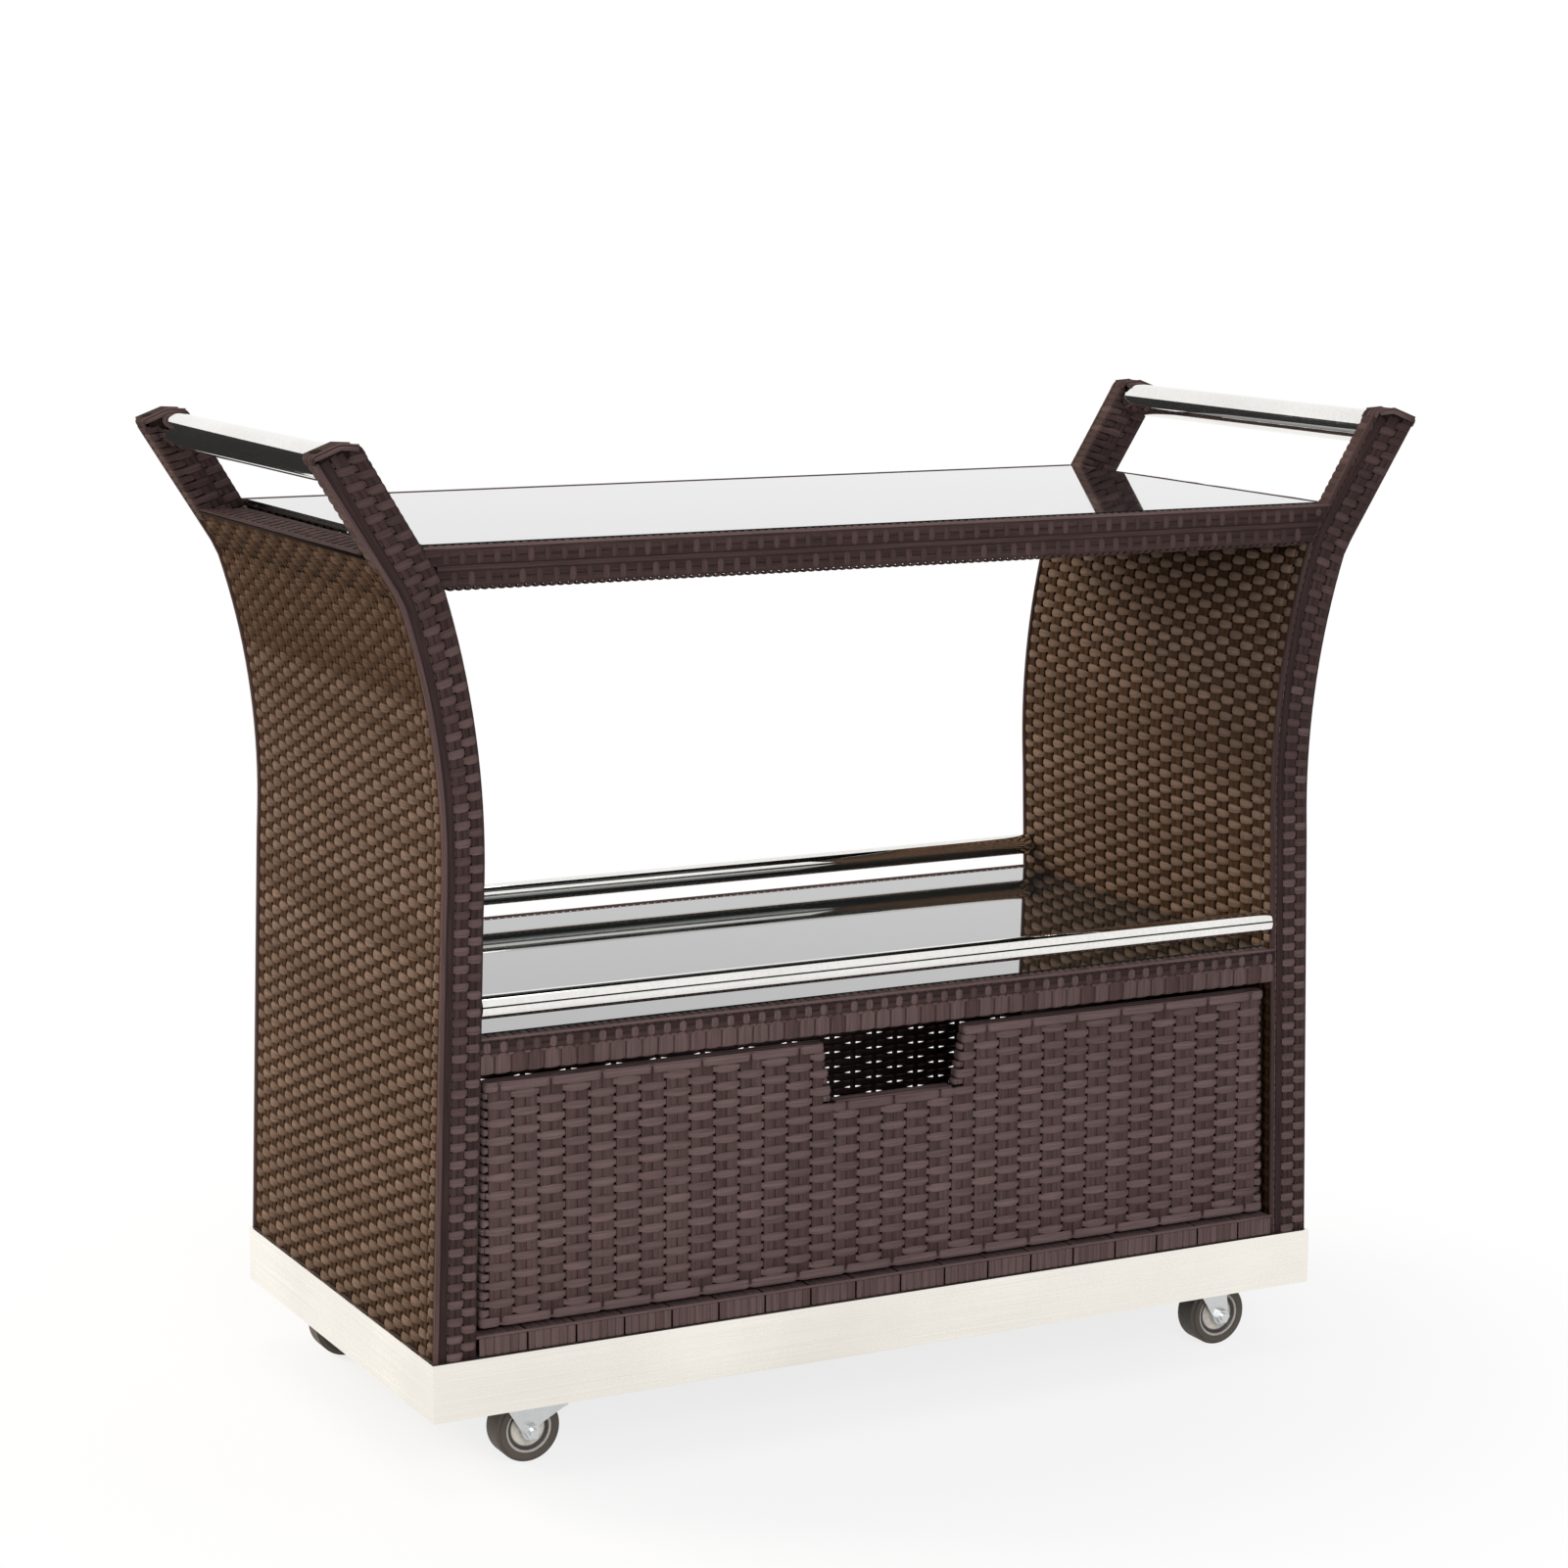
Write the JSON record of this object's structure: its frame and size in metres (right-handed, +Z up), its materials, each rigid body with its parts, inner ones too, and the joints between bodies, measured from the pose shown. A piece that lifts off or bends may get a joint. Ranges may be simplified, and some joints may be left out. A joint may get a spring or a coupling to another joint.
{
  "type": "serving trolley",
  "caption": "Woven wicker serving trolley with flared sides, tube handles, glass top and shelf, a drawer with a hand notch, and a steel plinth on swivel casters.",
  "frame": {"origin": "centre of the bounding box on the floor under the wheels", "axes": "+X along the long front towards the right-hand handle, the drawer front faces -Y, +Z up"},
  "size_m": [1.168, 0.49, 0.959],
  "materials": {
    "wicker": "woven, satin",
    "plinth_steel": "satin",
    "polished_steel": "polished",
    "dark_glass": "polished, tinted",
    "dark_board": "painted, matt",
    "zinc_steel": "zinc plated",
    "frame_aluminium": "powder coated",
    "pad_rubber": "matt",
    "wheel_core": "moulded",
    "tyre_rubber": "matt"
  },
  "bodies": {
    "root": {"post_front_right": "wicker", "post_front_left": "wicker", "post_rear_right": "wicker", "post_rear_left": "wicker", "side_skin_outer_right": "wicker", "side_skin_outer_left": "wicker", "side_skin_inner_right": "wicker", "side_skin_inner_left": "wicker", "cross_bar_right": "wicker", "cross_bar_left": "wicker", "top_rail_front": "wicker", "top_rail_rear": "wicker", "shelf_rail_front": "wicker", "shelf_rail_rear": "wicker", "bottom_rail_front": "wicker", "bottom_rail_rear": "wicker", "back_panel": "wicker", "plinth_front": "plinth_steel", "plinth_rear": "plinth_steel", "plinth_left": "plinth_steel", "plinth_right": "plinth_steel", "handle_right": "polished_steel", "handle_left": "polished_steel", "guard_rail_front": "polished_steel", "guard_rail_rear": "polished_steel", "top_glass": "dark_glass", "shelf_glass": "dark_glass", "base_board": "dark_board", "slide_battens": "dark_board", "slide_channels": "zinc_steel", "caster_plates": "zinc_steel", "king_pins": "zinc_steel", "caster_screws": "zinc_steel", "side_frames": "frame_aluminium", "glass_pads": "pad_rubber"},
    "drawer": {"drawer_front": "wicker", "drawer_side_left": "dark_board", "drawer_side_right": "dark_board", "drawer_back": "dark_board", "drawer_bottom": "dark_board", "slide_bars": "zinc_steel"},
    "caster_front_right": {"fork_front_right": "zinc_steel", "axle_front_right": "zinc_steel"},
    "wheel_front_right": {"wheel_front_right": "wheel_core", "tyre_front_right": "tyre_rubber"},
    "caster_front_left": {"fork_front_left": "zinc_steel", "axle_front_left": "zinc_steel"},
    "wheel_front_left": {"wheel_front_left": "wheel_core", "tyre_front_left": "tyre_rubber"},
    "brake_front_left": {"brake_pedal_front_left": "zinc_steel"},
    "caster_rear_right": {"fork_rear_right": "zinc_steel", "axle_rear_right": "zinc_steel"},
    "wheel_rear_right": {"wheel_rear_right": "wheel_core", "tyre_rear_right": "tyre_rubber"},
    "caster_rear_left": {"fork_rear_left": "zinc_steel", "axle_rear_left": "zinc_steel"},
    "wheel_rear_left": {"wheel_rear_left": "wheel_core", "tyre_rear_left": "tyre_rubber"},
    "brake_rear_left": {"brake_pedal_rear_left": "zinc_steel"}
  },
  "joints": [
    {"name": "drawer_slide", "type": "slide", "parent": "root", "child": "drawer", "axis": [0, -1, 0], "range_m": [0, 0.3]},
    {"name": "swivel_front_right", "type": "hinge", "parent": "root", "child": "caster_front_right", "pos_m": [0.385, -0.182, 0.086], "axis": [0, 0, 1], "continuous": true},
    {"name": "spin_front_right", "type": "hinge", "parent": "caster_front_right", "child": "wheel_front_right", "pos_m": [0.405, -0.182, 0.032], "axis": [0, 1, 0], "continuous": true},
    {"name": "swivel_front_left", "type": "hinge", "parent": "root", "child": "caster_front_left", "pos_m": [-0.385, -0.182, 0.086], "axis": [0, 0, 1], "continuous": true},
    {"name": "spin_front_left", "type": "hinge", "parent": "caster_front_left", "child": "wheel_front_left", "pos_m": [-0.365, -0.182, 0.032], "axis": [0, 1, 0], "continuous": true},
    {"name": "brake_front_left", "type": "hinge", "parent": "caster_front_left", "child": "brake_front_left", "pos_m": [-0.33125, -0.182, 0.05563], "axis": [0, 1, 0], "range_deg": [0, 15]},
    {"name": "swivel_rear_right", "type": "hinge", "parent": "root", "child": "caster_rear_right", "pos_m": [0.385, 0.182, 0.086], "axis": [0, 0, 1], "continuous": true},
    {"name": "spin_rear_right", "type": "hinge", "parent": "caster_rear_right", "child": "wheel_rear_right", "pos_m": [0.365, 0.182, 0.032], "axis": [0, 1, 0], "continuous": true},
    {"name": "swivel_rear_left", "type": "hinge", "parent": "root", "child": "caster_rear_left", "pos_m": [-0.385, 0.182, 0.086], "axis": [0, 0, 1], "continuous": true},
    {"name": "spin_rear_left", "type": "hinge", "parent": "caster_rear_left", "child": "wheel_rear_left", "pos_m": [-0.405, 0.182, 0.032], "axis": [0, 1, 0], "continuous": true},
    {"name": "brake_rear_left", "type": "hinge", "parent": "caster_rear_left", "child": "brake_rear_left", "pos_m": [-0.43875, 0.182, 0.05563], "axis": [0, -1, 0], "range_deg": [0, 15]}
  ]
}
